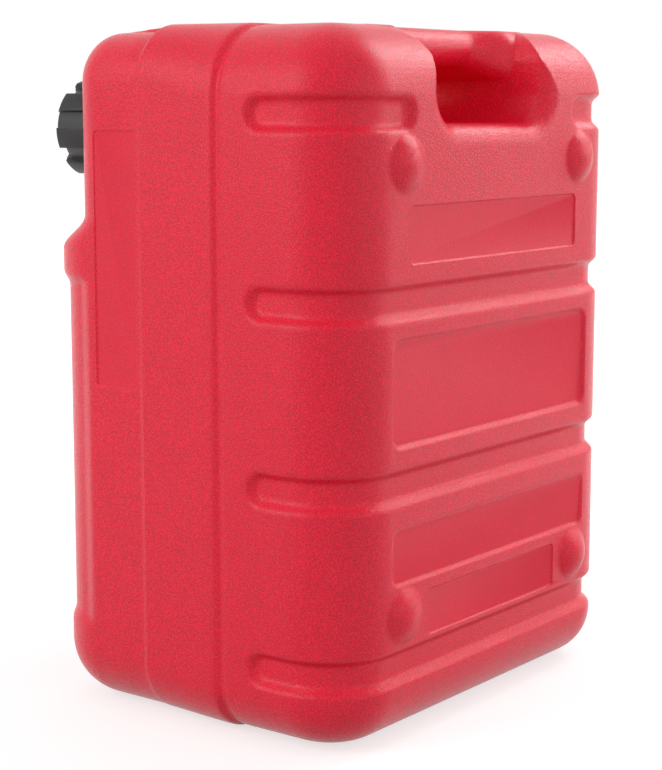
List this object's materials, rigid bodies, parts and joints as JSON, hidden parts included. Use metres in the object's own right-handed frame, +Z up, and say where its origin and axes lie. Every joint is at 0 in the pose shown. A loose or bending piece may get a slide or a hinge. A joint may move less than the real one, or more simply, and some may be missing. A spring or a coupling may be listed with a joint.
{
  "type": "outboard fuel tank",
  "caption": "Portable outboard fuel tank in red moulded plastic: carry handle in the end, vented screw filler cap, float gauge and quick hose connector.",
  "frame": {"origin": "centre of the bounding box's bottom face, on the ground under the tank as it stands on its end", "axes": "+Z up to the carry handle, X across the broad face, -Y out of the panelled broad face, +Y out of the face with the filler cap"},
  "size_m": [0.315, 0.27, 0.425],
  "materials": {
    "tank_red": "blow-moulded polyethylene with a fine pebble grain",
    "cap_black": "moulded, satin",
    "insert_grey": "moulded, plain",
    "vent_black": "moulded, satin",
    "seal_black": "nitrile, dull",
    "clip_steel": "spring steel",
    "unit_black": "moulded, satin",
    "screw_steel": "stainless steel",
    "dial_white": "printed plastic",
    "pointer_red": "painted plastic",
    "lens_clear": "clear moulded plastic",
    "shaft_steel": "turned steel",
    "arm_steel": "bent steel wire",
    "float_cream": "closed-cell foam",
    "tube_white": "extruded polyethylene",
    "strainer_white": "moulded polyethylene",
    "connector_brass": "turned brass",
    "pin_steel": "turned stainless steel",
    "spring_steel": "spring wire"
  },
  "bodies": {
    "tank": {"tank_shell": "tank_red", "flange_gasket": "seal_black", "unit_body": "unit_black", "flange_screws": "screw_steel", "gauge_dial": "dial_white", "gauge_lens": "lens_clear", "arm_pin": "shaft_steel", "pickup_tube": "tube_white", "strainer": "strainer_white", "connector": "connector_brass", "connector_ring": "seal_black", "connector_key": "pin_steel", "check_spring": "spring_steel"},
    "cap_seal": {"cap_gasket": "seal_black"},
    "cap": {"filler_cap": "cap_black", "cap_insert": "insert_grey", "vent_seal": "seal_black"},
    "vent": {"vent_screw": "vent_black", "vent_clip": "clip_steel"},
    "arm": {"float_arm": "arm_steel", "float": "float_cream"},
    "gauge": {"drive_shaft": "shaft_steel", "gauge_pointer": "pointer_red"},
    "pin": {"check_pin": "pin_steel"}
  },
  "joints": [
    {"name": "cap_lift_off", "type": "slide", "parent": "tank", "child": "cap_seal", "axis": [0, 1, 0], "range_m": [0, 0.06]},
    {"name": "cap_turn", "type": "hinge", "parent": "cap_seal", "child": "cap", "pos_m": [-0.095, 0.11, 0.362], "axis": [0, 1, 0], "range_deg": [0, 450]},
    {"name": "vent_turn", "type": "hinge", "parent": "cap", "child": "vent", "pos_m": [-0.095, 0.13, 0.362], "axis": [0, 1, 0], "range_deg": [0, 540]},
    {"name": "float_swing", "type": "hinge", "parent": "tank", "child": "arm", "pos_m": [0.1015, -0.003, 0.349], "axis": [1, 0, 0], "range_deg": [-62, 52]},
    {"name": "gauge_turn", "type": "hinge", "parent": "tank", "child": "gauge", "pos_m": [0.1015, 0.105, 0.349], "axis": [0, 1, 0], "range_deg": [-52, 62]},
    {"name": "check_pin_push", "type": "slide", "parent": "tank", "child": "pin", "axis": [0, 0, -1], "range_m": [0, 0.003], "stiffness_N_per_m": 400, "springref_m": -0.003, "deforming": ["check_spring"]}
  ],
  "couplings": [
    {"joint": "gauge_turn", "follows": "float_swing", "ratio": -1}
  ]
}
